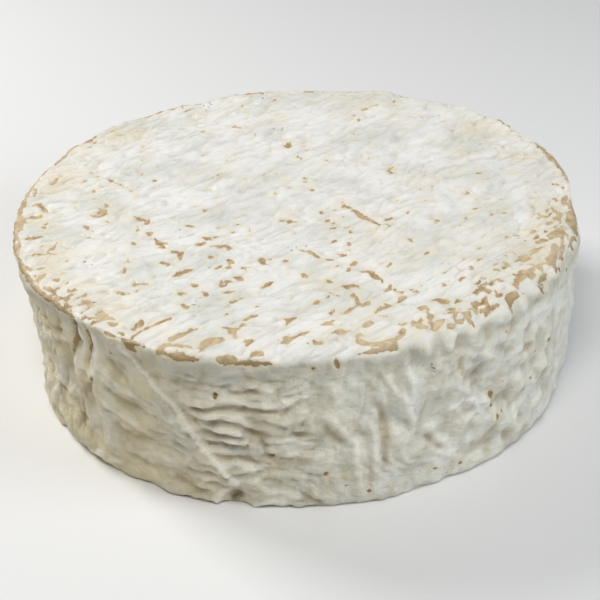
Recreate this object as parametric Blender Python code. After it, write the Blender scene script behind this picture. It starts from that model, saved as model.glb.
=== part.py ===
"""A white-rinded soft cheese, sold as a low round wheel.

Metres, +Z up, resting on its flat base at z = 0.
"""

import math
import random

import bmesh
import bpy
from mathutils import Vector, noise

MM = 0.001

# Driving dimensions of the wheel
WHEEL_RADIUS = 100 * MM
WHEEL_HEIGHT = 60 * MM
HEEL_RADIUS = 0.978 * WHEEL_RADIUS  # the wall leans in towards the base
HEEL_ROUND = 2.6 * MM  # rounding where the wall meets the base
RIM_ROUND = 1.5 * MM  # rounding of the upper edge where it is crisp
WORN_RIM_ROUND = 6.2 * MM  # and where the edge has been rubbed down
WORN_RIM_AT = math.radians(-48)
WORN_RIM_SPREAD = math.radians(34)

# How finely the surface is divided
RINGS = 24  # rings of triangles from the centre of the upper face to its edge
WALL_ROWS = 20
RIM_SHARE = 0.1  # how much of the wall's rows the rounding of the upper edge takes
HEEL_SHARE = 0.1
SECTOR = math.radians(60)  # the upper face starts as a hexagon of six triangles
NEARLY_ZERO = 1e-6

# Unevenness of the whole form: (waves round the wheel, share of the radius, phase)
OUT_OF_ROUND = ((2, 0.0040, 1.1), (3, 0.0030, 0.4), (5, 0.0020, 2.0), (9, 0.0012, 0.9))

# The upper face is drawn into long low swells by the hoop and the wrapping
SWELL_DIRECTION = math.radians(42)
SWELL_LENGTH = 42 * MM
SWELL_WIDTH = 13 * MM
SWELL_HEIGHT = 1.1 * MM
SWELL_PLACE = 0.7  # where in the noise the swells are taken from
FACE_DISH = 1.0 * MM  # the middle of the upper face sits lower than its edge
DISH_FLOOR = 0.1  # share of the radius over which the dish is deepest
RIM_WAVE_LENGTH = 15 * MM
RIM_WAVE_HEIGHT = 1.2 * MM
RIM_WAVE_REACH = 12 * MM
RIM_WAVE_PUSH = 0.6  # how far the edge moves out for each millimetre that it rises

# The wall is wrinkled, more loosely towards the upper edge than at the base
NOISE_SEED = 7
noise.seed_set(NOISE_SEED)  # or Blender would bend the wrinkles by the clock, anew at each run
WRINKLE_LENGTH = 19 * MM
WRINKLE_WIDTH = 11 * MM
WRINKLE_HEIGHT = 1.7 * MM
WRINKLE_BEND = 0.6  # how far the wrinkles wander, as a share of their own size
SMALLER = 2.1  # how much finer the second layer of wrinkles is
SMALLER_HEIGHT = 0.45  # and its height as a share of the first
HEEL_CALM = 0.6  # how much less uneven the wall is at the base

# Soft dents and bulges of the wall: angle in degrees, height as a share, reach in degrees, reach as a share
# of the height, and how far out
SLUMPS = (
    (-110, 0.95, 18, 0.30, 1.6 * MM),
    (-74, 0.95, 10, 0.30, -1.0 * MM),
    (-58, 0.92, 6, 0.20, 1.2 * MM),
    (-42, 0.95, 12, 0.30, -1.6 * MM),
    (-46, 0.05, 12, 0.35, 1.6 * MM),
    (-86, 0.05, 14, 0.30, -0.6 * MM),
    (-20, 0.05, 8, 0.30, -1.0 * MM),
    (-166, 0.45, 18, 0.40, -2.8 * MM),
    (0, 0.60, 20, 0.40, -1.4 * MM),
    (-4, 0.95, 14, 0.30, -1.8 * MM),
)

# Creases pressed into the wall: start angle in degrees, start height as a share, end angle, end height,
# width and depth. A negative depth is a raised fold.
PRESSED_CREASES = (
    (-143, 0.93, -139, 0.42, 2.8 * MM, 1.9 * MM),
    (-136, 0.92, -134, 0.20, 3.0 * MM, 1.7 * MM),
    (-150, 0.88, -152, 0.35, 3.0 * MM, 1.2 * MM),
    (-126, 0.96, -104, 0.14, 2.6 * MM, -1.3 * MM),
    (-121, 0.90, -109, 0.48, 3.2 * MM, 1.0 * MM),
    (-88, 0.78, -76, 0.52, 3.0 * MM, 1.0 * MM),
    (-70, 0.80, -62, 0.26, 3.4 * MM, 1.1 * MM),
    (-40, 0.86, -49, 0.36, 3.0 * MM, 1.3 * MM),
    (-27, 0.74, -36, 0.30, 2.8 * MM, 1.0 * MM),
    (-105, 0.00, -103, 0.16, 4.0 * MM, 2.4 * MM),
)

# Shallower creases, spread evenly all round the wall: lowest and highest value of each
CREASE_SEED = 11
FREE_CREASES = 24
FREE_LEAN = (-16, 16)  # degrees
FREE_TOP = (0.5, 0.98)
FREE_DROP = (0.25, 0.5)
FREE_WIDTH = (2.6 * MM, 3.6 * MM)
FREE_DEPTH = (0.4 * MM, 1.0 * MM)

# The rind
RIND_WHITE = (0.80, 0.76, 0.66, 1.0)
RIND_ROUGHNESS = 0.75
SHARP_ANGLE = math.radians(50)


def free_creases():
    """The shallower creases, leaning either way."""
    draw = random.Random(CREASE_SEED)
    made = []
    for k in range(FREE_CREASES):
        start = 360 * (k + draw.uniform(0.1, 0.9)) / FREE_CREASES
        end = start + draw.uniform(*FREE_LEAN)
        top = draw.uniform(*FREE_TOP)
        bottom = top - draw.uniform(*FREE_DROP)
        made.append((start, top, end, bottom, draw.uniform(*FREE_WIDTH), draw.uniform(*FREE_DEPTH)))
    return made


CREASES = [*PRESSED_CREASES, *free_creases()]


def smooth(low, high, value):
    """0 below low and 1 above high, with a soft step between them."""
    t = min(1.0, max(0.0, (value - low) / (high - low)))
    return t * t * (3 - 2 * t)


def turn_between(a, b):
    """The angle from b to a, the short way round."""
    return (a - b + math.pi) % (2 * math.pi) - math.pi


def crease_depth(angle, height):
    """How far the creases push the wall in at a point given by its angle and its height."""
    depth = 0.0
    for start, top, end, bottom, width, deep in CREASES:
        along = math.radians(end - start) * WHEEL_RADIUS
        rise = (bottom - top) * WHEEL_HEIGHT
        aside = turn_between(angle, math.radians(start)) * WHEEL_RADIUS
        above = height - top * WHEEL_HEIGHT
        share = min(1.0, max(0.0, (aside * along + above * rise) / (along**2 + rise**2)))
        gap = math.hypot(aside - share * along, above - share * rise)
        depth += deep * math.exp(-((gap / width) ** 2))
    return depth


def slump(angle, height):
    """How far the dents and bulges move the wall out at this angle and height."""
    out = 0.0
    for centre, middle, reach, rise, far in SLUMPS:
        aside = turn_between(angle, math.radians(centre)) / math.radians(reach)
        above = (height / WHEEL_HEIGHT - middle) / rise
        out += far * math.exp(-(aside**2) - above**2)
    return out


def wall_wrinkle(point):
    """Height of the soft wrinkles of the wall, longer round the wheel than up it."""
    place = Vector((point.x / WRINKLE_LENGTH, point.y / WRINKLE_LENGTH, point.z / WRINKLE_WIDTH))
    place += WRINKLE_BEND * noise.noise_vector(place / 2)
    return WRINKLE_HEIGHT * (noise.noise(place) + SMALLER_HEIGHT * noise.noise(SMALLER * place))


def face_swell(point):
    """Height of the drawn-out swells of the upper face."""
    across = -point.x * math.sin(SWELL_DIRECTION) + point.y * math.cos(SWELL_DIRECTION)
    along = point.x * math.cos(SWELL_DIRECTION) + point.y * math.sin(SWELL_DIRECTION)
    return SWELL_HEIGHT * noise.noise(Vector((along / SWELL_LENGTH, across / SWELL_WIDTH, SWELL_PLACE)))


def round_factor(angle):
    """How far the wheel is from a true circle at this angle, as a factor near 1."""
    return 1 + sum(share * math.sin(waves * angle + phase) for waves, share, phase in OUT_OF_ROUND)


def rim_round(angle):
    """Rounding of the upper edge, larger where it is worn."""
    worn = math.exp(-((turn_between(angle, WORN_RIM_AT) / WORN_RIM_SPREAD) ** 2))
    return RIM_ROUND + (WORN_RIM_ROUND - RIM_ROUND) * worn


def section(share, angle):
    """(radius, height) of the smooth wheel's section.

    Shares 0 to 1 run out over the upper face, and 1 to 2 down the wall with both of its roundings.
    """
    rim = rim_round(angle)
    foot = HEEL_RADIUS - HEEL_ROUND
    if share <= 1:
        return share * (WHEEL_RADIUS - rim), WHEEL_HEIGHT
    if share < 1 + RIM_SHARE:
        turn = (share - 1) / RIM_SHARE * math.pi / 2
        return WHEEL_RADIUS - rim + rim * math.sin(turn), WHEEL_HEIGHT - rim + rim * math.cos(turn)
    if share < 2 - HEEL_SHARE:
        down = (share - 1 - RIM_SHARE) / (1 - RIM_SHARE - HEEL_SHARE)
        radius = WHEEL_RADIUS + (HEEL_RADIUS - WHEEL_RADIUS) * down
        return radius, WHEEL_HEIGHT - rim - (WHEEL_HEIGHT - rim - HEEL_ROUND) * down
    turn = (share - 2 + HEEL_SHARE) / HEEL_SHARE * math.pi / 2
    return foot + HEEL_ROUND * math.cos(turn), HEEL_ROUND * (1 - math.sin(turn))


def moulded_point(share, angle):
    """A point of the finished surface."""
    radius, height = section(share, angle)
    outward = Vector((math.cos(angle), math.sin(angle), 0))
    point = radius * round_factor(angle) ** smooth(0.5, 1.0, share) * outward + Vector((0, 0, height))
    wall_part = smooth(1.0, 1.0 + RIM_SHARE, share)
    face_part = 1 - wall_part
    near_rim = math.exp(-(((math.hypot(point.x, point.y) - WHEEL_RADIUS) / RIM_WAVE_REACH) ** 2))
    wave = near_rim * RIM_WAVE_HEIGHT * noise.noise(Vector((point.x, point.y, 0)) / RIM_WAVE_LENGTH)
    lift = face_part * (face_swell(point) + wave - FACE_DISH * (1 - smooth(DISH_FLOOR, 1.0, share)))
    push = RIM_WAVE_PUSH * face_part * wave + smooth(0.85, 1.0, share) * slump(angle, height)
    push += wall_part * (wall_wrinkle(point) - crease_depth(angle, height))
    push *= 1 - HEEL_CALM * smooth(2 - HEEL_SHARE, 2.0, share)
    return point + push * outward + Vector((0, 0, lift))


def hexagon_place(co):
    """(share of the way to the edge, angle) of a point of the hexagon, to make it a round disc."""
    sector = math.floor(math.atan2(co.y, co.x) / SECTOR - 0.5 + NEARLY_ZERO)
    corners = [SECTOR * (k + 0.5) for k in (sector, sector + 1)]
    start, end = (Vector((math.cos(corner), math.sin(corner))) for corner in corners)
    span = start.x * end.y - start.y * end.x
    to_start = (co.x * end.y - co.y * end.x) / span
    to_end = (start.x * co.y - start.y * co.x) / span
    share = to_start + to_end
    if share < NEARLY_ZERO:
        return 0.0, 0.0
    return share, corners[0] + SECTOR * to_end / share


def wheel_mesh():
    """A divided hexagon with the rows of the wall hung from its edge and a flat base under them.

    Each vertex holds its share of the section in z until the wheel is moulded.
    """
    bm = bmesh.new()
    bmesh.ops.create_circle(bm, cap_ends=True, cap_tris=True, segments=6, radius=1)
    bmesh.ops.subdivide_edges(bm, edges=bm.edges[:], cuts=RINGS - 1, use_grid_fill=True)
    for vert in bm.verts:
        vert.co.z = hexagon_place(vert.co)[0]
    edge = [e for e in bm.edges if e.is_boundary]
    for row in range(1, WALL_ROWS + 1):
        grown = bmesh.ops.extrude_edge_only(bm, edges=edge)["geom"]
        edge = [g for g in grown if isinstance(g, bmesh.types.BMEdge) and g.is_boundary]
        for vert in {v for e in edge for v in e.verts}:
            vert.co.z = 1 + row / WALL_ROWS
    bmesh.ops.holes_fill(bm, edges=edge)
    for vert in bm.verts:
        vert.co = moulded_point(vert.co.z, hexagon_place(vert.co)[1])
    bmesh.ops.recalc_face_normals(bm, faces=bm.faces[:])
    if bm.calc_volume(signed=True) < 0:
        bmesh.ops.reverse_faces(bm, faces=bm.faces[:])
    mesh = bpy.data.meshes.new("cheese_wheel")
    bm.to_mesh(mesh)
    bm.free()
    return mesh


def centre_on_origin(mesh):
    """Moves the uneven wheel so that its box is centred on the Z axis."""
    xs = [v.co.x for v in mesh.vertices]
    ys = [v.co.y for v in mesh.vertices]
    for vert in mesh.vertices:
        vert.co.x -= (min(xs) + max(xs)) / 2
        vert.co.y -= (min(ys) + max(ys)) / 2


def white_rind():
    """The matt off-white of a mould rind."""
    material = bpy.data.materials.new("white_rind")
    material.use_nodes = True
    shader = material.node_tree.nodes["Principled BSDF"]
    shader.inputs["Base Color"].default_value = RIND_WHITE
    shader.inputs["Roughness"].default_value = RIND_ROUGHNESS
    shader.inputs["Metallic"].default_value = 0.0
    return material


def main():
    for old in list(bpy.data.objects):
        bpy.data.objects.remove(old)
    collection = bpy.data.collections.new("cheese_wheel")
    bpy.context.scene.collection.children.link(collection)
    mesh = wheel_mesh()
    centre_on_origin(mesh)
    mesh.materials.append(white_rind())
    mesh.shade_smooth()
    mesh.set_sharp_from_angle(angle=SHARP_ANGLE)
    wheel = bpy.data.objects.new("cheese_wheel", mesh)
    collection.objects.link(wheel)


main()
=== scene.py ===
"""A white-rinded soft cheese, a low wheel about 200 mm across, lying on a pale table in soft light."""

import math
import random

import bmesh
import bpy
import numpy as np
from mathutils import Matrix, Vector, noise


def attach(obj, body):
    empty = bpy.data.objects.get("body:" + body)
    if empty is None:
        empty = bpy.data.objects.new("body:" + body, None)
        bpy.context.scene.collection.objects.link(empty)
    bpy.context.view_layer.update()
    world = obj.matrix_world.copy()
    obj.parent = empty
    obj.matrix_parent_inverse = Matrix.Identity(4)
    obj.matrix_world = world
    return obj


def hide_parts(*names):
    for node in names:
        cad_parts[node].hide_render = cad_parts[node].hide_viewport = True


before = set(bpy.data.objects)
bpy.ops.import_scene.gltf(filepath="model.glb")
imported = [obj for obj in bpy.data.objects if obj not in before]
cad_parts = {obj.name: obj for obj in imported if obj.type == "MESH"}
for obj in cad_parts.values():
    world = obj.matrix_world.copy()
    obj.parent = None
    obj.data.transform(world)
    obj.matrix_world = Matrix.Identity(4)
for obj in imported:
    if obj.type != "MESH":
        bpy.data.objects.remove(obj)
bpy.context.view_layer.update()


# The moulded wheel
# The curd is set in a round hoop, turned out and left to ripen. Its own weight makes the wall lean in
# towards the base, and the hoop and the wrapping leave long swells on the face and creases in the wall.

MM = 0.001
WHEEL_RADIUS = 100 * MM
WHEEL_HEIGHT = 60 * MM
HEEL_RADIUS = 0.978 * WHEEL_RADIUS
HEEL_ROUND = 2.6 * MM
RIM_ROUND = 1.5 * MM
WORN_RIM_ROUND = 6.2 * MM
WORN_RIM_AT = math.radians(-48)
WORN_RIM_SPREAD = math.radians(34)
RIM_SHARE = 0.1  # how much of the wall's rows the rounding of the upper edge takes
HEEL_SHARE = 0.1
OUT_OF_ROUND = ((2, 0.0040, 1.1), (3, 0.0030, 0.4), (5, 0.0020, 2.0), (9, 0.0012, 0.9))

SWELL_DIRECTION = math.radians(42)
SWELL_LENGTH = 42 * MM
SWELL_WIDTH = 13 * MM
SWELL_HEIGHT = 1.1 * MM
FACE_DISH = 1.0 * MM
RIM_WAVE_LENGTH = 15 * MM
RIM_WAVE_HEIGHT = 1.2 * MM
RIM_WAVE_REACH = 12 * MM
RIM_WAVE_PUSH = 0.6  # how far the edge moves out for each millimetre that it rises
HEEL_CALM = 0.6  # how much less uneven the wall is at the base

NOISE_SEED = 7
noise.seed_set(NOISE_SEED)  # or Blender would bend the wrinkles by the clock, anew at each run
WRINKLE_LENGTH = 19 * MM
WRINKLE_WIDTH = 11 * MM
WRINKLE_HEIGHT = 1.7 * MM

# Soft dents and bulges of the wall: angle in degrees, height as a share, reach in degrees, reach as a share
# of the height, and how far out
SLUMPS = (
    (-110, 0.95, 18, 0.30, 1.6 * MM),
    (-74, 0.95, 10, 0.30, -1.0 * MM),
    (-58, 0.92, 6, 0.20, 1.2 * MM),
    (-42, 0.95, 12, 0.30, -1.6 * MM),
    (-46, 0.05, 12, 0.35, 1.6 * MM),
    (-86, 0.05, 14, 0.30, -0.6 * MM),
    (-20, 0.05, 8, 0.30, -1.0 * MM),
    (-166, 0.45, 18, 0.40, -2.8 * MM),
    (0, 0.60, 20, 0.40, -1.4 * MM),
    (-4, 0.95, 14, 0.30, -1.8 * MM),
)

# Start angle in degrees, start height as a share, end angle, end height, width and depth
PRESSED_CREASES = (
    (-143, 0.93, -139, 0.42, 2.8 * MM, 1.9 * MM),
    (-136, 0.92, -134, 0.20, 3.0 * MM, 1.7 * MM),
    (-150, 0.88, -152, 0.35, 3.0 * MM, 1.2 * MM),
    (-126, 0.96, -104, 0.14, 2.6 * MM, -1.3 * MM),
    (-121, 0.90, -109, 0.48, 3.2 * MM, 1.0 * MM),
    (-88, 0.78, -76, 0.52, 3.0 * MM, 1.0 * MM),
    (-70, 0.80, -62, 0.26, 3.4 * MM, 1.1 * MM),
    (-40, 0.86, -49, 0.36, 3.0 * MM, 1.3 * MM),
    (-27, 0.74, -36, 0.30, 2.8 * MM, 1.0 * MM),
    (-105, 0.00, -103, 0.16, 4.0 * MM, 2.4 * MM),
)
CREASE_SEED = 11
FREE_CREASES = 24


def free_creases():
    """Shallower creases all round the wall, evenly spread and leaning either way."""
    draw = random.Random(CREASE_SEED)
    made = []
    for k in range(FREE_CREASES):
        start = 360 * (k + draw.uniform(0.1, 0.9)) / FREE_CREASES
        lean = draw.uniform(-16, 16)
        top = draw.uniform(0.5, 0.98)
        bottom = top - draw.uniform(0.25, 0.5)
        width = draw.uniform(2.6 * MM, 3.6 * MM)
        depth = draw.uniform(0.4 * MM, 1.0 * MM)
        made.append((start, top, start + lean, bottom, width, depth))
    return made


CREASES = [*PRESSED_CREASES, *free_creases()]


def smooth(low, high, value):
    """0 below low and 1 above high, with a soft step between them."""
    t = min(1.0, max(0.0, (value - low) / (high - low)))
    return t * t * (3 - 2 * t)


def turn_between(a, b):
    """The angle from b to a, the short way round."""
    return (a - b + math.pi) % (2 * math.pi) - math.pi


def crease_depth(angle, height):
    """How far the creases push the wall in at a point given by its angle and its height."""
    depth = 0.0
    for start, top, end, bottom, width, deep in CREASES:
        along = math.radians(end - start) * WHEEL_RADIUS
        rise = (bottom - top) * WHEEL_HEIGHT
        aside = turn_between(angle, math.radians(start)) * WHEEL_RADIUS
        above = height - top * WHEEL_HEIGHT
        share = min(1.0, max(0.0, (aside * along + above * rise) / (along**2 + rise**2)))
        gap = math.hypot(aside - share * along, above - share * rise)
        depth += deep * math.exp(-((gap / width) ** 2))
    return depth


def slump(angle, height):
    """How far the dents and bulges move the wall out at this angle and height."""
    out = 0.0
    for centre, middle, reach, rise, far in SLUMPS:
        aside = turn_between(angle, math.radians(centre)) / math.radians(reach)
        above = (height / WHEEL_HEIGHT - middle) / rise
        out += far * math.exp(-(aside**2) - above**2)
    return out


def wall_wrinkle(point):
    """Height of the broad wrinkles of the wall, longer round the wheel than up it."""
    place = Vector((point.x / WRINKLE_LENGTH, point.y / WRINKLE_LENGTH, point.z / WRINKLE_WIDTH))
    place += 0.6 * noise.noise_vector(0.5 * place)
    return WRINKLE_HEIGHT * (noise.noise(place) + 0.45 * noise.noise(2.1 * place))


def face_swell(point):
    """Height of the drawn-out swells of the upper face."""
    across = -point.x * math.sin(SWELL_DIRECTION) + point.y * math.cos(SWELL_DIRECTION)
    along = point.x * math.cos(SWELL_DIRECTION) + point.y * math.sin(SWELL_DIRECTION)
    return SWELL_HEIGHT * noise.noise(Vector((along / SWELL_LENGTH, across / SWELL_WIDTH, 0.7)))


def round_factor(angle):
    """How far the wheel is from a true circle at this angle, as a factor near 1."""
    return 1 + sum(share * math.sin(waves * angle + phase) for waves, share, phase in OUT_OF_ROUND)


def rim_round(angle):
    """Rounding of the upper edge, larger where it is worn."""
    worn = math.exp(-((turn_between(angle, WORN_RIM_AT) / WORN_RIM_SPREAD) ** 2))
    return RIM_ROUND + (WORN_RIM_ROUND - RIM_ROUND) * worn


def section(share, angle):
    """(radius, height, tilt) of the smooth wheel's section. Shares 0 to 1 run over the upper face, 1 to 2
    down the wall with both roundings, and 2 to 3 back along the base. The tilt of the surface is 0 facing up,
    a quarter turn facing outward and half a turn facing down."""
    rim = rim_round(angle)
    foot = HEEL_RADIUS - HEEL_ROUND
    if share <= 1:
        return share * (WHEEL_RADIUS - rim), WHEEL_HEIGHT, 0.0
    if share >= 2:
        return (3 - share) * foot, 0.0, math.pi
    if share < 1 + RIM_SHARE:
        turn = (share - 1) / RIM_SHARE * math.pi / 2
        return WHEEL_RADIUS - rim + rim * math.sin(turn), WHEEL_HEIGHT - rim + rim * math.cos(turn), turn
    if share < 2 - HEEL_SHARE:
        down = (share - 1 - RIM_SHARE) / (1 - RIM_SHARE - HEEL_SHARE)
        radius = WHEEL_RADIUS + (HEEL_RADIUS - WHEEL_RADIUS) * down
        return radius, WHEEL_HEIGHT - rim - (WHEEL_HEIGHT - rim - HEEL_ROUND) * down, math.pi / 2
    turn = (share - 2 + HEEL_SHARE) / HEEL_SHARE * math.pi / 2
    return foot + HEEL_ROUND * math.cos(turn), HEEL_ROUND * (1 - math.sin(turn)), math.pi / 2 + turn


def moulded_point(share, angle):
    """(point of the moulded wheel, the same point of the smooth wheel, outward direction there)."""
    radius, height, tilt = section(share, angle)
    outward = Vector((math.cos(angle), math.sin(angle), 0))
    even = radius * outward + Vector((0, 0, height))
    facing = math.sin(tilt) * outward + Vector((0, 0, math.cos(tilt)))
    point = radius * round_factor(angle) ** smooth(0.5, 1.0, share) * outward + Vector((0, 0, height))
    wall_part = smooth(1.0, 1.0 + RIM_SHARE, share)
    face_part = 1 - wall_part
    near_rim = math.exp(-(((math.hypot(point.x, point.y) - WHEEL_RADIUS) / RIM_WAVE_REACH) ** 2))
    wave = near_rim * RIM_WAVE_HEIGHT * noise.noise(Vector((point.x, point.y, 0)) / RIM_WAVE_LENGTH)
    lift = face_part * (face_swell(point) + wave - FACE_DISH * (1 - smooth(0.1, 1.0, share)))
    push = RIM_WAVE_PUSH * face_part * wave + smooth(0.85, 1.0, share) * slump(angle, height)
    if wall_part:
        push += wall_part * (wall_wrinkle(point) - crease_depth(angle, height))
    push *= 1 - HEEL_CALM * smooth(2 - HEEL_SHARE, 2.0, share)
    push *= min(1.0, 3 - share)
    return point + push * outward + Vector((0, 0, lift)), even, facing


# The growth of the rind
# White mould felts the whole wheel. Turning and wrapping drag it into fine pillowy streaks over the upper
# face and gather it into ropes, folds and lumps on the wall, where it hangs over the worn edge in lobes.

STREAK_BEND = 2.3  # how much the streaks turn across the face, in radians a metre
DRIFT_LENGTH = 20 * MM
DRIFT = 2.6 * MM
STREAK_LENGTH = 16 * MM
STREAK_WIDTH = 5 * MM
STREAK_HEIGHT = 1.3 * MM
FLAKES = 3.2  # how many times the mould overlaps itself within one swing of the noise
ROPE_GAP = 4.7 * MM  # from one rope to the next, up the wall
ROPE_LENGTH = 9 * MM
ROPE_HEIGHT = 1.7 * MM
FOLD_COUNT = 92  # folds that would go round the whole wall
FOLD_SLANT = 30 / WHEEL_RADIUS  # how the folds lean, in radians of their wave for each metre up
FOLD_LENGTH = 15 * MM
FOLD_WIDTH = 5 * MM
FOLD_HEIGHT = 1.6 * MM
LUMP_SIZE = 5.2 * MM
LUMP_HEIGHT = 1.5 * MM
SMALL_WRINKLE = 2.4 * MM
SMALL_HEIGHT = 0.25 * MM
REGION_SIZE = 34 * MM
MEAN_GATHER = 0.95 * MM  # taken off, so that the growth leaves the wheel's width as it is
CALM_BAND = 10 * MM  # the wall is smoother this far below the upper edge
CALM_FOOT = 7 * MM  # and this far above the base
FRILL_HEIGHT = 0.9 * MM  # of the flaky edge that was pressed out at the base
FRILL_LENGTH = 3.4 * MM
FRILL_REACH = 2.6 * MM

# Stretches of the wall that are mostly of one kind: kind, angle of the middle and reach in degrees
ROPES, FOLDS, LUMPS = range(3)
STRETCHES = (
    (FOLDS, -146, 12),
    (ROPES, -101, 16),
    (FOLDS, -76, 11),
    (LUMPS, -45, 18),
)

# Smoother stretches: angle of the middle and reach in degrees, and how much smoother
SMOOTH_STRETCHES = ((-124, 9, 0.35), (-76, 12, 0.3), (-24, 12, 0.4))

# Folds that stand out most: half width and height in millimetres, then angle in degrees and height in
# millimetres of each point. A negative height is a crack.
DRAWN_FOLDS = (
    (0.8, 1.0, (-123.5, 57), (-120.5, 51), (-117.3, 45), (-113.8, 37)),
    (0.8, 1.4, (-115, 40), (-111.8, 31), (-110, 26), (-108.8, 22.5)),
    (0.8, 1.3, (-108.9, 23), (-105.2, 14.5), (-103.5, 10)),
    (1.0, 0.7, (-110.5, 9), (-106.3, 13)),
    (1.5, 0.9, (-113, 42.5), (-108, 41.5), (-104, 44.5), (-100, 43), (-95, 43.5), (-91, 46.5)),
    (1.3, -0.8, (-112.5, 39.6), (-107, 39.6), (-103, 41.2), (-98, 40.5), (-94, 41)),
    (1.4, 0.9, (-112.5, 37.5), (-109, 36.8), (-105, 38.2), (-102, 38), (-99, 34.5)),
    (1.2, -1.0, (-110, 34.5), (-106, 35.3), (-102, 35), (-99.5, 31.5), (-96, 30.4)),
    (1.4, 0.8, (-110.5, 32), (-107, 32.3), (-103.5, 33), (-101.5, 31)),
    (1.2, -0.9, (-110.5, 30.5), (-107, 29.3), (-104, 30), (-101, 29)),
    (1.3, 0.8, (-109.5, 27.5), (-106, 27.3), (-103, 28), (-99.5, 28.3)),
    (1.2, -0.9, (-109.5, 25.2), (-106, 25.6), (-102.5, 26), (-99.5, 26)),
    (1.3, 0.8, (-109, 23), (-105, 23.3), (-101, 23.5)),
    (1.1, -0.9, (-108.3, 21.8), (-105, 21.2), (-100.5, 20.4), (-98, 20)),
    (1.3, 0.7, (-107, 17.5), (-103, 18.3), (-99, 17)),
    (1.1, -0.8, (-98.3, 31), (-97.6, 26), (-97.2, 20)),
    (1.3, 0.8, (-97, 39), (-94.5, 36.5), (-92.8, 33)),
    (1.1, -0.9, (-95.5, 36), (-93, 33), (-92, 30), (-89, 30.5)),
    (1.4, 0.8, (-96, 29), (-93, 27.5), (-90, 28)),
    (1.3, 0.8, (-96.3, 24.5), (-93, 22.8), (-91.5, 23.5)),
    (1.2, -0.7, (-96, 21), (-92.5, 20.3), (-89.5, 21)),
    (1.4, 0.8, (-100, 50.5), (-96.5, 49), (-95, 47.5)),
    (1.3, -0.7, (-104, 47), (-100.5, 47.7), (-97.5, 47.2)),
    (1.6, 0.9, (-87.5, 40), (-85.5, 36.5), (-83.5, 31), (-81.7, 26), (-81.2, 16), (-80.8, 6)),
    (1.2, -0.8, (-87.3, 35), (-85.8, 30), (-83.6, 26)),
    (1.4, 0.7, (-86, 50), (-84.7, 44.5), (-84.3, 41)),
    (1.5, 0.9, (-76.5, 51), (-74.3, 45), (-72.5, 40), (-71, 33), (-70.2, 26)),
    (1.4, -0.6, (-78.8, 43), (-76.3, 36), (-75.5, 25), (-76.2, 12)),
    (1.3, 0.6, (-78.8, 35), (-77.7, 26), (-78, 14)),
    (1.1, -0.6, (-68, 22.5), (-66, 18.5), (-63.8, 14)),
    (1.2, 0.6, (-66.5, 22), (-63.5, 16), (-60.5, 8)),
    (1.1, -0.8, (-92, 6.5), (-89.8, 4.3), (-87.5, 1.8)),
    (1.3, 0.7, (-100, 8), (-96.5, 7.3), (-93.5, 5), (-91, 4)),
    (1.2, -1.2, (-137.4, 59), (-137, 50), (-138.4, 44), (-139.3, 37), (-140, 30)),
    (1.5, 0.8, (-135.8, 57), (-135.3, 48), (-136.8, 41), (-137.6, 34)),
    (1.1, -1.1, (-132.5, 60), (-132.5, 52), (-133.6, 45), (-135.3, 40)),
    (1.4, 0.8, (-130.8, 57), (-130.5, 50), (-131.6, 43), (-133, 37)),
    (1.2, -0.9, (-132.3, 38.5), (-134, 33.5), (-136.5, 29)),
    (1.3, 0.9, (-139.5, 33), (-137.5, 31.5)),
    (1.3, -0.8, (-139.5, 27.5), (-136.5, 27)),
    (1.2, -0.8, (-138.3, 24), (-138.3, 18), (-140.3, 11)),
    (1.2, -0.7, (-156, 46), (-151, 48.3), (-146, 48.8), (-141, 47.5)),
    (1.3, 0.8, (-150.5, 42.5), (-146.5, 43.2), (-143.5, 45.5), (-140.5, 45)),
    (1.2, -0.7, (-148, 45), (-144.8, 44.5)),
    (1.3, 0.8, (-150.5, 22), (-147.5, 24), (-145, 26)),
    (1.2, -0.8, (-150, 19.5), (-146, 21), (-142.5, 22.3)),
    (1.2, 0.7, (-139, 2.5), (-136, 4), (-133, 7.5)),
    (1.2, 0.7, (-133.5, 3), (-131, 5), (-128.5, 6)),
    (1.3, -0.5, (-129, 49), (-125.5, 45), (-122.5, 43)),
    (1.4, 0.5, (-130, 44), (-126, 40), (-121.5, 38)),
    (1.3, -0.5, (-130.5, 37), (-127, 33.5), (-122, 32)),
    (1.4, 0.5, (-131, 31), (-127.5, 27), (-122, 26.5)),
    (1.3, -0.6, (-129, 22), (-124, 20), (-119, 21)),
    (1.4, 0.5, (-124, 14), (-119, 15.5), (-114.5, 14)),
    (1.2, -0.5, (-127, 12), (-121.5, 9.5), (-117, 10.5)),
    (1.1, -0.9, (-61.5, 50), (-61, 45), (-60, 40.5)),
    (1.1, -0.9, (-53.2, 30), (-52.6, 26), (-52.5, 23)),
    (1.0, -0.8, (-55.5, 49), (-54, 46)),
    (1.0, 0.9, (-63.5, 29), (-60, 30.5), (-56.5, 29)),
    (1.0, 0.8, (-60, 22), (-56.5, 24.5), (-54.5, 22)),
    (1.1, -0.8, (-47, 39), (-44, 37), (-41.5, 37.5)),
    (1.5, -1.8, (-104.8, 0.5), (-104.3, 2), (-103.6, 4.5)),
    (1.4, 1.2, (-108.5, 0.5), (-107.3, 4), (-105.6, 7)),
    (1.2, 0.9, (-101.5, 0.5), (-98, 2.5), (-94, 2.8)),
    (1.2, -0.8, (-117, 9), (-113, 7), (-109.5, 3.5)),
)

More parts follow.
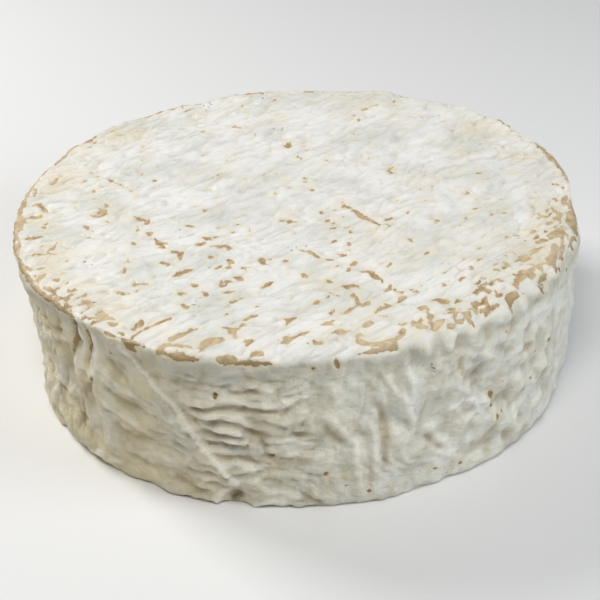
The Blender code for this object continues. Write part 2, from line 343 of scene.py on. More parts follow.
# Lobes of mould at the worn edge: angle in degrees, then height, half width, half height and how far they
# stand out, in millimetres
LOBES = (
    (-77, 57, 5.0, 3.4, 0.9),
    (-68.5, 56, 3.2, 4.6, 1.4),
    (-63.5, 57.5, 2.6, 4.4, 1.7),
    (-58.5, 55, 4.2, 3.0, 1.3),
    (-51.5, 56.5, 5.0, 3.2, 1.2),
    (-44.5, 57, 3.0, 3.4, 1.3),
    (-39, 55.5, 4.6, 2.8, 1.0),
    (-32, 57, 3.2, 3.8, 1.0),
    (-66, 49, 3.0, 3.2, 0.9),
    (-56.5, 47.5, 4.6, 2.4, 0.9),
    (-48.5, 45, 3.4, 2.6, 0.8),
    (-36, 46, 4.2, 2.6, 0.9),
)
LOBE_GAP = 0.55 * MM  # how far the rind lies back between the lobes
LOBE_BAND = 4.5 * MM
LOBE_BEND = 2.2 * MM
LOBE_BEND_LENGTH = 7 * MM


def pillows(value):
    """Rounded pillows parted by sharp clefts, made from noise: 0 in a cleft and 1 on a pillow."""
    rise = min(1.0, 2.8 * abs(value))
    return rise * (2 - rise)


def streak_relief(place):
    """Height of the streaks of the upper face, as a share of their full height."""
    drifted = place + DRIFT * noise.noise_vector(place / DRIFT_LENGTH)
    along = drifted.x * math.cos(SWELL_DIRECTION) + drifted.y * math.sin(SWELL_DIRECTION)
    across = -drifted.x * math.sin(SWELL_DIRECTION) + drifted.y * math.cos(SWELL_DIRECTION)
    across -= STREAK_BEND / 2 * along**2
    broad = pillows(noise.noise(Vector((along / STREAK_LENGTH, across / STREAK_WIDTH, 3.1))))
    step = FLAKES * noise.noise(Vector((along / STREAK_LENGTH, across / STREAK_WIDTH / 1.4, 7.7)))
    flake = step - math.floor(step)
    return 0.5 * broad + 0.5 * min(flake, 5 * (1 - flake))


def kinds_of_wrinkle(place, angle):
    """How much of each kind of wrinkle there is at a point of the wall. The shares add up to 1."""
    amounts = []
    for kind in (ROPES, FOLDS, LUMPS):
        amount = 0.3 + noise.noise(place / REGION_SIZE + Vector((0, 0, 9 * kind)))
        for stretch, centre, reach in STRETCHES:
            nearness = math.exp(-((turn_between(angle, math.radians(centre)) / math.radians(reach)) ** 2))
            amount += 1.2 * nearness if stretch == kind else -0.6 * nearness
        amounts.append(max(0.02, amount) ** 2)
    return [amount / sum(amounts) for amount in amounts]


def wall_relief(place, angle):
    """Height of the gathered mould on the wall, in metres."""
    drifted = place + DRIFT * noise.noise_vector(place / DRIFT_LENGTH)
    wander = noise.noise(Vector((place.x, place.y, 1.7 * place.z)) / (17 * MM))
    jitter = noise.noise(place / (6 * MM))
    rope_wave = math.sin(math.tau * (drifted.z / ROPE_GAP + 1.1 * wander + 0.35 * jitter))
    fold_wave = math.sin(FOLD_COUNT * angle + FOLD_SLANT * drifted.z + 9 * wander + 2.2 * jitter)
    rope_part = smooth(-0.4, 0.2, noise.noise(Vector((place.x, place.y, 1.6 * place.z)) / (9 * MM)))
    fold_part = smooth(-0.4, 0.2, noise.noise(Vector((1.4 * place.x, 1.4 * place.y, place.z)) / (11 * MM)))
    rope = Vector((drifted.x / ROPE_LENGTH, drifted.y / ROPE_LENGTH, drifted.z / ROPE_GAP))
    fold = Vector((drifted.x / FOLD_WIDTH, drifted.y / FOLD_WIDTH, drifted.z / FOLD_LENGTH))
    lumps = 0.5 + noise.noise(drifted / LUMP_SIZE) + 0.4 * noise.noise(2.1 * drifted / LUMP_SIZE)
    ropes, folds, lumpy = kinds_of_wrinkle(place, angle)
    gathered = ropes * ROPE_HEIGHT * (0.45 * pillows(noise.noise(rope)) + 0.28 * rope_part * (1 + rope_wave))
    gathered += folds * FOLD_HEIGHT * (0.45 * pillows(noise.noise(fold)) + 0.28 * fold_part * (1 + fold_wave))
    gathered += lumpy * LUMP_HEIGHT * lumps + SMALL_HEIGHT * pillows(noise.noise(drifted / SMALL_WRINKLE))
    loose = 0.3 + 0.7 * smooth(0.0, CALM_BAND, WHEEL_HEIGHT - place.z)
    loose *= 0.4 + 0.6 * smooth(0.0, CALM_FOOT, place.z)
    for centre, reach, calm in SMOOTH_STRETCHES:
        loose *= 1 - calm * math.exp(-((turn_between(angle, math.radians(centre)) / math.radians(reach)) ** 2))
    frill = FRILL_HEIGHT * noise.noise(place / FRILL_LENGTH) * math.exp(-((place.z / FRILL_REACH) ** 2))
    return loose * (gathered - MEAN_GATHER) + frill


def on_wall(degrees, height):
    """The point of the smooth wheel's wall at this angle and height in millimetres."""
    angle = math.radians(degrees)
    radius = HEEL_RADIUS + (WHEEL_RADIUS - HEEL_RADIUS) * height * MM / WHEEL_HEIGHT
    return Vector((radius * math.cos(angle), radius * math.sin(angle), height * MM))


FAR_OFF = 99.0  # the gap given to a place that is well away from a line, in millimetres
LINE_REACH = 8 * MM  # how far from a line the gaps are worked out


def line_distance(places, points):
    """(gap in millimetres, share of the way along) of each place from a line through points."""
    gap = np.full(len(places), FAR_OFF)
    share = np.zeros(len(places))
    spans = len(points) - 1
    for k in range(spans):
        start = np.array(points[k])
        step = np.array(points[k + 1]) - start
        length = np.linalg.norm(step)
        near = np.where(np.linalg.norm(places - start - step / 2, axis=1) < length / 2 + LINE_REACH)[0]
        offset = places[near] - start
        along = np.clip(offset @ step / length**2, 0, 1)
        here = np.linalg.norm(offset - along[:, None] * step, axis=1) / MM
        closer = here < gap[near]
        gap[near[closer]] = here[closer]
        share[near[closer]] = (k + along[closer]) / spans
    return gap, share


def drawn_relief(places):
    """Height of the drawn folds at each place, in metres."""
    total = np.zeros(len(places))
    for width, height, *points in DRAWN_FOLDS:
        gap, share = line_distance(places, [on_wall(*point) for point in points])
        faded = np.clip(5 * np.minimum(share, 1 - share) + 0.3, 0, 1)
        total += height * MM * faded * np.exp(-((gap / width) ** 2))
    return total


def lobe_relief(place, angle):
    """How far the lobes stand out at a point of the wall."""
    stand = 0.0
    bent = place + LOBE_BEND * noise.noise_vector(place / LOBE_BEND_LENGTH)
    shift = (bent - place).dot(Vector((-math.sin(angle), math.cos(angle), 0)))
    for centre, middle, half_width, half_height, high in LOBES:
        aside = (turn_between(angle, math.radians(centre)) * WHEEL_RADIUS + shift) / (half_width * MM)
        above = (bent.z - middle * MM) / (half_height * MM)
        stand += high * MM * math.exp(-((aside**2 + above**2) ** 2))
    worn = (rim_round(angle) - RIM_ROUND) / (WORN_RIM_ROUND - RIM_ROUND)
    return stand - worn * LOBE_GAP * math.exp(-(((place.z - WHEEL_HEIGHT + LOBE_BAND) / LOBE_BAND) ** 2))


# The worn marks
# Where the mould was rubbed off or never took, the dry ochre skin of the curd is bare: torn dashes across
# the face, a broken line round the edge with strokes that reach in from it, and tan streaks in deep creases.

# Width, then the points of each mark on the upper face, in millimetres from the middle
FACE_MARKS = (
    (2.2, (-49, -22.5), (-46.5, -28), (-44.5, -31.5)),
    (2.3, (-43, -31.5), (-39.5, -33.5), (-39.5, -39.5)),
    (1.5, (-56.5, -25), (-55, -27.5)),
    (1.8, (-33.5, -22.5), (-29.5, -24.8)),
    (2.6, (-35.5, -28.3), (-32, -27.2)),
    (2.2, (-30, -29), (-26, -30.5), (-23.5, -31), (-23.5, -33.8)),
    (1.5, (-29.5, -36.5), (-29, -38.5)),
    (2.2, (-24, -39.5), (-21.8, -43)),
    (2.0, (-13, -39), (-11, -44.5)),
    (1.4, (-19, -46), (-16, -46)),
    (1.6, (-25, -43.5), (-27.5, -47)),
    (1.6, (-35, -45), (-38.5, -46.5), (-41.5, -49)),
    (2.2, (-46.5, -39.8), (-43, -41)),
    (2.6, (-35, -54.5), (-33, -57)),
    (1.7, (-25.5, -57.5), (-25.5, -54.5), (-22, -54)),
    (1.8, (-8.5, -54.5), (-12.5, -57.5)),
    (1.2, (-22, -51.5), (-19.5, -51)),
    (1.5, (-24.5, -61), (-21, -60)),
    (1.8, (-31.5, -60.5), (-30.5, -60.5)),
    (1.5, (-39, -58.5), (-37.3, -63)),
    (1.4, (-38, -66.5), (-35.5, -70)),
    (1.3, (-23.2, -66.5), (-19.2, -64.8)),
    (1.6, (-18, -78), (-13.5, -75.5)),
    (0.7, (-57.5, -42), (-57.3, -50)),
    (0.7, (-57.2, -34), (-56.8, -39)),
    (1.6, (-59.5, -56.5), (-56, -58.5)),
    (1.0, (-54, -53.5), (-51.5, -52.5), (-48, -54)),
    (0.9, (-53.5, -57.5), (-51.5, -56.5)),
    (2.4, (-49.8, -74), (-50.3, -78)),
    (1.7, (-51.5, -88), (-51.2, -82.5), (-48.5, -80), (-43.5, -77), (-40.5, -75.5), (-40.5, -78)),
    (1.6, (-39.5, -87), (-38, -84.5), (-34.5, -82.8), (-31, -80.7)),
    (3.4, (-30.5, -94), (-29, -89.5), (-26, -87.7), (-23.5, -87.5)),
    (1.6, (-24.7, -81), (-21.5, -83.5), (-20, -87)),
    (1.3, (-20.2, -83.6), (-17, -80.5)),
    (1.6, (-41.5, -92), (-41, -88.5), (-36, -89.5), (-32, -92)),
    (2.4, (-15.5, -97), (-13.5, -95.8), (-12, -97)),
    (1.5, (-56.5, -81), (-55, -80.5), (-53.5, -83)),
    (1.7, (-17, -91), (-15, -89)),
    (2.4, (-6.5, -92), (-4.5, -89.8), (2, -86.7)),
    (2.0, (-5, -82), (-4, -79), (-1.5, -78)),
    (1.8, (-91, -37.7), (-88.5, -41), (-83, -39.5)),
    (0.7, (-93, -31), (-81, -31)),
    (1.4, (-84.5, -30), (-81.5, -24)),
    (1.5, (-87.5, -26.5), (-86.5, -25.5)),
    (1.5, (-81.5, -47.5), (-78, -46.5)),
    (0.9, (-87.5, -45), (-86.5, -44.5)),
    (1.6, (-83.5, -51), (-80, -53), (-79, -56.5)),
    (1.6, (-75.8, -57), (-73, -55), (-71.5, -56.5)),
    (1.1, (-70.8, -61), (-68, -59)),
    (1.5, (-80, -59.5), (-75, -60), (-73.5, -64)),
    (1.6, (-69, -65), (-67.5, -62.8), (-66, -64), (-67, -69)),
    (1.6, (-75, -63.5), (-71.5, -68)),
    (2.2, (-63.3, -66.5), (-62, -71), (-57.5, -73.5)),
    (2.0, (-60, -75), (-57, -76)),
    (1.5, (0, -35), (4, -37.5), (7, -40)),
    (1.3, (8.5, -41.2), (10.5, -41.4)),
    (1.0, (13.5, -38.5), (15.5, -39.5)),
    (1.6, (17, -45.5), (19, -44)),
    (1.1, (12, -45.5), (12.8, -47)),
    (1.5, (0, -50), (2.5, -52.5)),
    (1.4, (8.7, -54.5), (9.5, -57)),
    (2.0, (19.8, -50), (23, -52), (24.8, -55.5), (26.3, -58.5)),
    (1.0, (29, -59.3), (28.3, -62), (30.3, -64.3), (34.5, -64.6), (39, -61.5)),
    (1.3, (34.5, -66), (37.5, -65)),
    (1.7, (30.3, -71.5), (31, -69), (33.8, -68)),
    (1.6, (12.5, -59.2), (17, -59), (19.3, -62.5)),
    (1.2, (9.3, -62.3), (10.8, -65)),
    (2.3, (3.8, -69), (5.5, -68.5)),
    (2.0, (16, -64), (17.3, -68), (18.5, -71.5)),
    (2.6, (17, -71), (20, -71.5)),
    (2.0, (17, -72.5), (15, -74.5), (12.5, -77.5)),
    (1.2, (10.3, -72.5), (9.3, -76.5)),
    (1.6, (29, -73.3), (25, -74), (22.8, -77.5)),
    (1.3, (25.8, -71.5), (27.5, -74)),
    (3.4, (36.5, -78), (38.5, -74.5)),
    (2.0, (38.5, -75), (39.2, -80), (39, -85), (40.5, -88.5)),
    (2.5, (41, -71.5), (44.5, -72.3), (43, -75)),
    (1.8, (43.5, -79.3), (48, -78.5), (50.5, -79.5), (52, -83.5), (53, -87.5)),
    (1.3, (51, -77), (56, -77.5)),
    (2.5, (52.5, -75), (57, -75), (58.5, -71.5)),
    (3.2, (54, -70), (58, -68), (61, -69.3)),
    (1.1, (55.5, -66), (60, -64.5)),
    (1.7, (63.8, -61.5), (64.5, -64.5)),
    (1.4, (70.5, -64), (69, -68), (67, -70)),
    (2.6, (74, -57), (70.5, -62)),
    (2.1, (75, -53), (78, -54), (80, -58)),
    (3.6, (81, -54), (82.8, -50), (84.5, -45), (85.2, -39)),
    (3.2, (83, -38), (87, -33), (89, -31), (91.3, -36)),
    (1.6, (87.5, -28), (91.5, -29)),
    (4.2, (95.5, -18), (94.3, -25), (95, -31)),
    (1.3, (70.5, -51), (77, -49)),
    (1.4, (76, -45.5), (79.5, -43.8)),
    (1.3, (80, -38), (83, -36)),
    (1.7, (78.5, -31.3), (80.5, -29.8)),
    (1.1, (70, -46.5), (71, -46)),
    (1.5, (67, -48), (68, -47.4)),
    (1.5, (66.8, -51.5), (68, -53)),
    (1.6, (62.5, -57), (63.5, -56.5)),
    (1.2, (54.5, -54.8), (56.5, -53.5)),
    (1.1, (57.5, -46.8), (59, -49)),
    (1.0, (53.3, -44.5), (54.3, -45.5)),
    (1.6, (58, -60.5), (58.8, -61.5)),
    (1.0, (51, -61.5), (51.8, -59)),
    (1.1, (45, -62), (46, -63.5)),
    (1.4, (36.3, -30.3), (38.7, -33)),
    (1.1, (16.5, -31), (17.8, -32.3)),
    (2.8, (21.5, -82), (18.5, -86)),
    (2.4, (14.3, -87), (8.7, -88)),
    (2.6, (16.5, -89), (18, -90.5)),
    (1.6, (30.3, -86.5), (31.5, -84)),
    (2.0, (33.5, -82.5), (36.5, -87), (38, -87.5)),
    (3.0, (16.5, -92), (18.5, -94), (23, -95), (27, -93.5), (30, -90.5), (30.5, -87)),
    (2.6, (68.5, -66), (71, -62), (75, -58), (77.5, -54)),
    (1.5, (86.5, -47), (88, -41), (88.7, -35)),
    (1.8, (98.5, -3), (95, -9), (97, -14), (96.3, -19)),
    (1.4, (62, -72), (64, -69.5)),
    (2.4, (88.5, -14), (91, -20), (90, -26)),
    (1.8, (91.5, -6), (93.5, -9)),
    (1.6, (84.5, -27), (86, -24)),
    (1.4, (79, -36), (81, -34)),
    (2.0, (72.5, -49.5), (75.5, -46.5)),
    (1.6, (66, -55), (69, -54)),
    (1.8, (58, -66), (62, -64.5)),
    (2.2, (65, -75), (67, -71), (71, -68)),
    (2.0, (56, -81), (58, -77.5), (62, -75.5)),
    (1.8, (76, -63.5), (78.5, -60), (80.5, -56.5)),
    (1.6, (83, -54), (86.5, -50)),
    (2.0, (90.5, -40), (93, -34), (94.5, -33)),
    (1.5, (46, -82.5), (47, -79.5)),
    (1.6, (43.5, -87.5), (46, -85)),
    (1.7, (6, -82.5), (10, -81)),
    (1.6, (3, -91), (5.5, -93.5)),
    (1.3, (23.5, -80), (24.3, -79.2)),
    (1.4, (-98, 3), (-92, 5), (-90, 1), (-88.5, -1)),
    (2.4, (-98, 12), (-98.2, 2)),
    (2.6, (-98, -2), (-97, -8), (-98, -16)),
    (2.0, (-96, -20), (-95.3, -29)),
    (1.5, (-97, 20), (-95, 16), (-95, 11)),
    (2.0, (-97, -5), (-91.5, -4), (-90, -2)),
    (1.3, (-88, -7), (-88.3, -13)),
    (1.7, (-87, -18.2), (-92, -20.5), (-95.5, -20)),
    (2.2, (-71, 2), (-68, -3), (-68.5, -6.5), (-73, -4)),
    (1.0, (-70.3, 7.5), (-67, 2)),
    (1.5, (-76.5, -13), (-73, -14.5), (-71, -17.5)),
    (1.2, (-68.5, -10.5), (-64.5, -10.3)),
    (1.3, (-68.3, -13), (-67.7, -14)),
    (2.0, (-57.5, -6.5), (-53, -9), (-52.5, -11.8)),
    (1.0, (-69.5, 24), (-64, 19), (-59.5, 13.5), (-57.5, 9)),
    (1.8, (-74.5, 15.7), (-73.3, 15.2)),
    (1.3, (-78.3, 24.5), (-77.5, 22)),
    (1.4, (-88, 26), (-91.5, 19.5)),
    (1.1, (-78.3, 13), (-77.6, 12)),
    (1.0, (-33.7, -2.5), (-32, -5.5)),
    (1.3, (-39, -15.5), (-37, -14.5)),
    (1.4, (-21.7, -12.5), (-19.8, -16.2)),
    (1.1, (-17.2, -17.5), (-16.3, -18.5)),
    (1.4, (-6.5, -12.7), (-3, -12.5), (0, -14)),
    (1.3, (-2.5, -20), (-1.5, -21)),
    (1.1, (-52.5, -19), (-49.5, -18.7)),
    (1.1, (-56, -14.5), (-55, -15)),
    (2.0, (14, -1.8), (17.3, -3.6), (21, -9), (24.5, -14.5), (27, -19), (32, -21)),
    (1.1, (46, -17.3), (49, -18.8)),
    (1.3, (57.5, -17), (58.5, -18)),
    (1.3, (61, -12), (63.5, -11)),
    (1.1, (71.5, -5), (72.5, -4.5)),
    (1.1, (84.5, -4), (85.5, -3.5)),
    (1.7, (81.8, -17.5), (87.5, -21.5)),
    (1.2, (88.5, -14.5), (90, -16)),
    (1.6, (92, 2.2), (93, 3.2)),
    (1.6, (96, 1.2), (97, 0.3)),
    (1.4, (10.5, -20), (12, -20.5)),
    (1.1, (17, -22), (18.5, -23)),
    (1.6, (2.5, 19), (4.5, 14)),
    (1.7, (0, 39), (3, 34)),
    (1.3, (12.3, 40), (12.5, 34)),
    (1.4, (35.3, 22), (37, 19)),
    (1.2, (44, 6.5), (46, 4), (45, 1.5)),
    (1.1, (33, -2.5), (34, -4)),
    (1.2, (43.5, -2.8), (44.5, -3.8)),
)

# Marks that lie along the edge: angles from and to in degrees, width and how far in from the edge they lie
EDGE_MARKS = (
    (-178, -161, 1.7, 0.5),
    (-165, -132, 1.6, 0.3),
    (-128, -117, 1.7, 0.3),
    (-115.5, -107, 1.4, 0.2),
    (-105, -100, 1.5, 0.5),
    (-101.5, -94, 1.5, 0.1),
    (-81, -72, 1.5, 0.8),
    (-19, -3, 3.4, 1.2),
    (2, 26, 3.0, 1.4),
    (163, 188, 2.4, 1.2),
    (139, 165, 2.1, 1.4),
    (112, 138, 2.0, 1.5),
    (92, 112, 1.8, 1.5),
    (60, 75, 1.3, 1.5),
    (30, 40, 1.4, 1.4),
)

# Short strokes near the edge: angles from and to in degrees, how many, and how far in they reach
EDGE_STROKES = ((-153, -127, 13, 5.5), (-68, -10, 18, 12.0))

# Tan streaks and spots in the wall: width, then angle in degrees and height in millimetres of each point
WALL_MARKS = (
    (1.15, (-137.4, 60), (-137.1, 50), (-138.6, 43), (-139.6, 36), (-140, 31)),
    (1.05, (-132.5, 60), (-132.5, 52), (-133.6, 45), (-135.3, 40)),
    (1.2, (-132.7, 38.5), (-134, 33.5)),
    (1.4, (-138, 32.5), (-139.5, 31)),
    (1.3, (-137, 18.5), (-137.5, 16.5)),
    (1.7, (-126.6, 53), (-126, 51)),
    (1.8, (-122, 58), (-120, 56)),
    (1.0, (-84.6, 59), (-84.2, 56), (-84, 53.5)),
    (1.3, (-88.8, 56.3), (-88.3, 55.7)),
    (1.3, (-106, 46), (-105.7, 44.5)),
    (1.3, (-107.8, 41), (-107.2, 40.5)),
    (1.5, (-101, 27), (-100.6, 25.5)),
    (0.9, (-96.6, 22.7), (-96.4, 21.5)),
    (1.2, (-87, 14.5), (-86.6, 13.3)),
    (1.0, (-79.5, 6.3), (-79, 5.5)),
    (0.9, (-61.3, 50), (-61, 44), (-60.2, 40.5)),
    (1.7, (-59.5, 62), (-58.3, 58.5), (-57.3, 57)),
    (1.6, (-49, 57.5), (-48.3, 55)),
    (1.0, (-51, 51.2), (-50, 50.5)),
    (1.0, (-40.3, 33.7), (-38.5, 32.8)),
    (1.0, (-52, 20.5), (-51.5, 17.5)),
    (1.0, (-50.5, 19.8), (-49.6, 18.6)),
    (1.0, (-53, 24), (-52.4, 23)),
    (1.0, (-50.8, 32), (-50.4, 31.3)),
    (1.4, (-27, 54), (-25.8, 51)),
    (1.0, (-35, 42.5), (-32.5, 41)),
    (0.9, (-55, 50), (-54.2, 47.5)),
    (0.9, (-44.5, 47), (-43.7, 44)),
    (0.9, (-46, 38.5), (-44.8, 37.5)),
    (0.8, (-53, 29.5), (-52.6, 26)),
    (0.8, (-34.5, 33), (-33.4, 31.5)),
    (0.9, (-41, 23.5), (-40, 22.5)),
    (0.9, (-66, 8), (-65, 7)),
    (0.9, (-60.5, 5.5), (-59, 5)),
)
GROWN_OVER = 0.28  # how much narrower on each side the marks are at the back, in millimetres
GROWN_FROM = -60 * MM
GROWN_TO = 60 * MM
SKIN_REACH = 5.0  # how far from a mark its distance is still told apart, in millimetres
FREE_MARK_SEED = 5
FREE_FACE_MARKS = 44
FREE_FLECKS = 420  # of which about half fall where flecks gather
FLECK_CLUSTER = 13 * MM
FREE_WALL_MARKS = 46
HIDDEN_FROM = math.radians(12)  # free marks fill the part of the wheel between these angles
HIDDEN_TO = math.radians(168)


def on_top(x, y):
    """The point of the smooth wheel's face, or of the rounding of its edge, above this place."""
    radius = min(WHEEL_RADIUS, math.hypot(x, y))
    angle = math.atan2(y, x)
    rim = rim_round(angle)
    over = max(0.0, radius - (WHEEL_RADIUS - rim))
    height = WHEEL_HEIGHT - rim + math.sqrt(max(0.0, rim**2 - over**2))
    return Vector((radius * math.cos(angle), radius * math.sin(angle), height))


def on_edge(degrees, inset):
    """The point of the face or its rounding at this angle, this many millimetres in from the wall."""
    angle = math.radians(degrees)
    radius = WHEEL_RADIUS - inset * MM
    return on_top(radius * math.cos(angle), radius * math.sin(angle))


BRANCH_LENGTH = (1.2, 2.8)  # millimetres
BRANCH_WIDTH = (0.5, 0.8)  # as a share of the mark's own


def branches():
    """Short strokes that run off the marks of the face at a slant."""
    draw = random.Random(FREE_MARK_SEED)
    marks = []
    for width, *points in FACE_MARKS:
        start, end = points[:2]
        share = draw.uniform(0.1, 0.9)
        heading = math.atan2(end[1] - start[1], end[0] - start[0]) + draw.choice((-1, 1)) * draw.uniform(0.5, 1.2)
        x, y = (a + share * (b - a) for a, b in zip(start, end))
        length = draw.uniform(*BRANCH_LENGTH)
        tip = (x + length * math.cos(heading), y + length * math.sin(heading))
        marks.append((width * draw.uniform(*BRANCH_WIDTH), (x, y), tip))
    return marks


def edge_strokes():
    """Torn strokes near the edge, drawn out the way the streaks run."""
    draw = random.Random(FREE_MARK_SEED)
    marks = []
    for start, end, count, reach in EDGE_STROKES:
        for k in range(count):
            angle = math.radians(start + (end - start) * (k + draw.uniform(0.1, 0.9)) / count)
            radius = WHEEL_RADIUS - draw.uniform(1.0, reach) * MM
            heading = SWELL_DIRECTION + draw.uniform(-0.4, 0.4)
            half = draw.uniform(1.2, 2.8) * MM * Vector((math.cos(heading), math.sin(heading)))
            bend = draw.uniform(-0.4, 0.4) * Vector((-half.y, half.x))
            middle = radius * Vector((math.cos(angle), math.sin(angle)))
            line = [on_top(*(middle - half)), on_top(*(middle + bend)), on_top(*(middle + half))]
            marks.append((draw.uniform(0.9, 1.4), line))
    return marks


def free_marks():
    """Marks on the far half of the wheel, and flecks all over its face, crowded towards the edge."""
    draw = random.Random(FREE_MARK_SEED)
    marks = []
    for _ in range(FREE_FACE_MARKS):
        angle = draw.uniform(HIDDEN_FROM, HIDDEN_TO)
        radius = WHEEL_RADIUS * (1 - 0.6 * draw.random() ** 2.2)
        heading = draw.choice((SWELL_DIRECTION, SWELL_DIRECTION, -SWELL_DIRECTION)) + draw.uniform(-0.4, 0.4)
        middle = Vector((radius * math.cos(angle), radius * math.sin(angle), WHEEL_HEIGHT))
        reach = draw.uniform(0.6, 3.2) * MM * Vector((math.cos(heading), math.sin(heading), 0))
        marks.append((draw.uniform(1.0, 2.0), [middle - reach, middle + reach]))
    for _ in range(FREE_FLECKS):
        angle = draw.uniform(0, math.tau)
        radius = WHEEL_RADIUS * (1 - 0.9 * draw.random() ** 1.4)
        heading = SWELL_DIRECTION + draw.uniform(-0.5, 0.5)
        middle = Vector((radius * math.cos(angle), radius * math.sin(angle), WHEEL_HEIGHT))
        reach = draw.uniform(0.4, 1.6) * MM * Vector((math.cos(heading), math.sin(heading), 0))
        if noise.noise(middle / FLECK_CLUSTER) > 0:
            marks.append((draw.uniform(0.5, 1.1), [middle - reach, middle + reach]))
    for _ in range(FREE_WALL_MARKS):
        degrees = draw.uniform(-5, 200)
        height = draw.uniform(4, 58)
        end = (degrees + draw.uniform(-1, 1), height - draw.uniform(0.5, 5))
        marks.append((draw.uniform(0.8, 1.4), [on_wall(degrees, height), on_wall(*end)]))
    return marks


def all_marks():
    """Every mark as (width in millimetres, points on the smooth wheel)."""
    strokes = [*FACE_MARKS, *branches()]
    face = [(w, [on_top(x * MM, y * MM) for x, y in points]) for w, *points in strokes]
    wall = [(w, [on_wall(*point) for point in points]) for w, *points in WALL_MARKS]
    edge = [(w, [on_edge(k, inset) for k in np.arange(start, end, 2.0)]) for start, end, w, inset in EDGE_MARKS]
    return face + wall + edge + edge_strokes() + free_marks()


def bare_skin(places):
    """How deep each place lies inside the nearest mark, in millimetres, and below 0 outside the marks."""
    depth = np.full(len(places), -FAR_OFF)
    for width, points in all_marks():
        gap, share = line_distance(places, points)
        taper = 0.1 + 0.9 * np.abs(np.sin(math.pi * share)) ** 0.8
        depth = np.maximum(depth, (0.85 * width + 0.2) / 2 * taper - gap)
    back = np.clip((places[:, 1] - GROWN_FROM) / (GROWN_TO - GROWN_FROM), 0, 1)
    depth -= GROWN_OVER * back * back * (3 - 2 * back)
    return np.maximum(depth, -SKIN_REACH)


# The finished mesh
# The moulded wheel is divided finely enough to hold its streaks and wrinkles: a hexagon of small even triangles
# for the face, the rows of the wall hung from its edge, and a base of rings and a fan, coarser because it is flat.

RINGS = 116  # rings of triangles from the centre of a face to its edge
WALL_ROWS = 74
BASE_RINGS = 4
CROWD_EDGE = 0.3
CROWD_FRONT = 0.25
FRONT = math.radians(-90)
SECTOR = math.radians(60)  # each face starts as a hexagon of six triangles
UNEVEN_MARK = 0.5  # how unevenly the marks' borders run, in millimetres
UNEVEN_LENGTH = 2.1 * MM
EDGE_HOLD = 0.5  # how much of that is missing along the edge
UNEVEN_EDGE = 0.9  # and what takes its place there, in millimetres
UNEVEN_EDGE_LENGTH = 5 * MM
STREAK_COVER = 0.75  # how far a pillow of mould reaches into a mark, in millimetres
FOLD_PAINTED_LIGHT = 0.8  # how much more a drawn fold is painted with highlight on its ridges and shade in its cracks than other relief is
FOLD_BEND = 0.55 * MM  # how far a drawn fold strays from its line
FOLD_BEND_LENGTH = 5 * MM
BARE_SINK = 0.32 * MM  # how far the bare skin lies below the mould
BARE_LIP = 0.16 * MM  # and how far the mould swells beside it


def hexagon_place(co):
    """(share of the way to the edge, angle) of a point of the hexagon, which makes the hexagon a round disc."""
    sector = math.floor(math.atan2(co.y, co.x) / SECTOR - 0.5 + 1e-6)
    corners = [SECTOR * (k + 0.5) for k in (sector, sector + 1)]
    start, end = (Vector((math.cos(corner), math.sin(corner))) for corner in corners)
    span = start.x * end.y - start.y * end.x
    to_start = (co.x * end.y - co.y * end.x) / span
    to_end = (start.x * co.y - start.y * co.x) / span
    share = to_start + to_end
    if share < 1e-6:
        return 0.0, 0.0
    return share, corners[0] + SECTOR * to_end / share


def divided_wheel():
    """A divided hexagon with rows of wall and base hung from its edge. Each vertex keeps its share of the
    section in z."""
    bm = bmesh.new()
    bmesh.ops.create_circle(bm, cap_ends=True, cap_tris=True, segments=6, radius=1)
    bmesh.ops.subdivide_edges(bm, edges=bm.edges[:], cuts=RINGS - 1, use_grid_fill=True)
    edge = [e for e in bm.edges if e.is_boundary]
    levels = [1 + row / WALL_ROWS for row in range(1, WALL_ROWS + 1)]
    levels += [2 + ring / BASE_RINGS for ring in range(1, BASE_RINGS)]
    for vert in bm.verts:
        vert.co.z = hexagon_place(vert.co)[0]
    for level in levels:
        grown = bmesh.ops.extrude_edge_only(bm, edges=edge)["geom"]
        edge = [g for g in grown if isinstance(g, bmesh.types.BMEdge) and g.is_boundary]
        for vert in {v for e in edge for v in e.verts}:
            vert.co.z = level
    centre = bm.verts.new((0, 0, 3))
    for e in edge:
        bm.faces.new((*e.verts, centre))
    bmesh.ops.recalc_face_normals(bm, faces=bm.faces[:])
    return bm


def crowded(share, angle):
    """Draws the vertices together near the edge of the face and at the front, where the marks are finest."""
    if share < 1:
        share += CROWD_EDGE * share * (1 - share)
    return share, angle - CROWD_FRONT * math.sin(angle - FRONT)


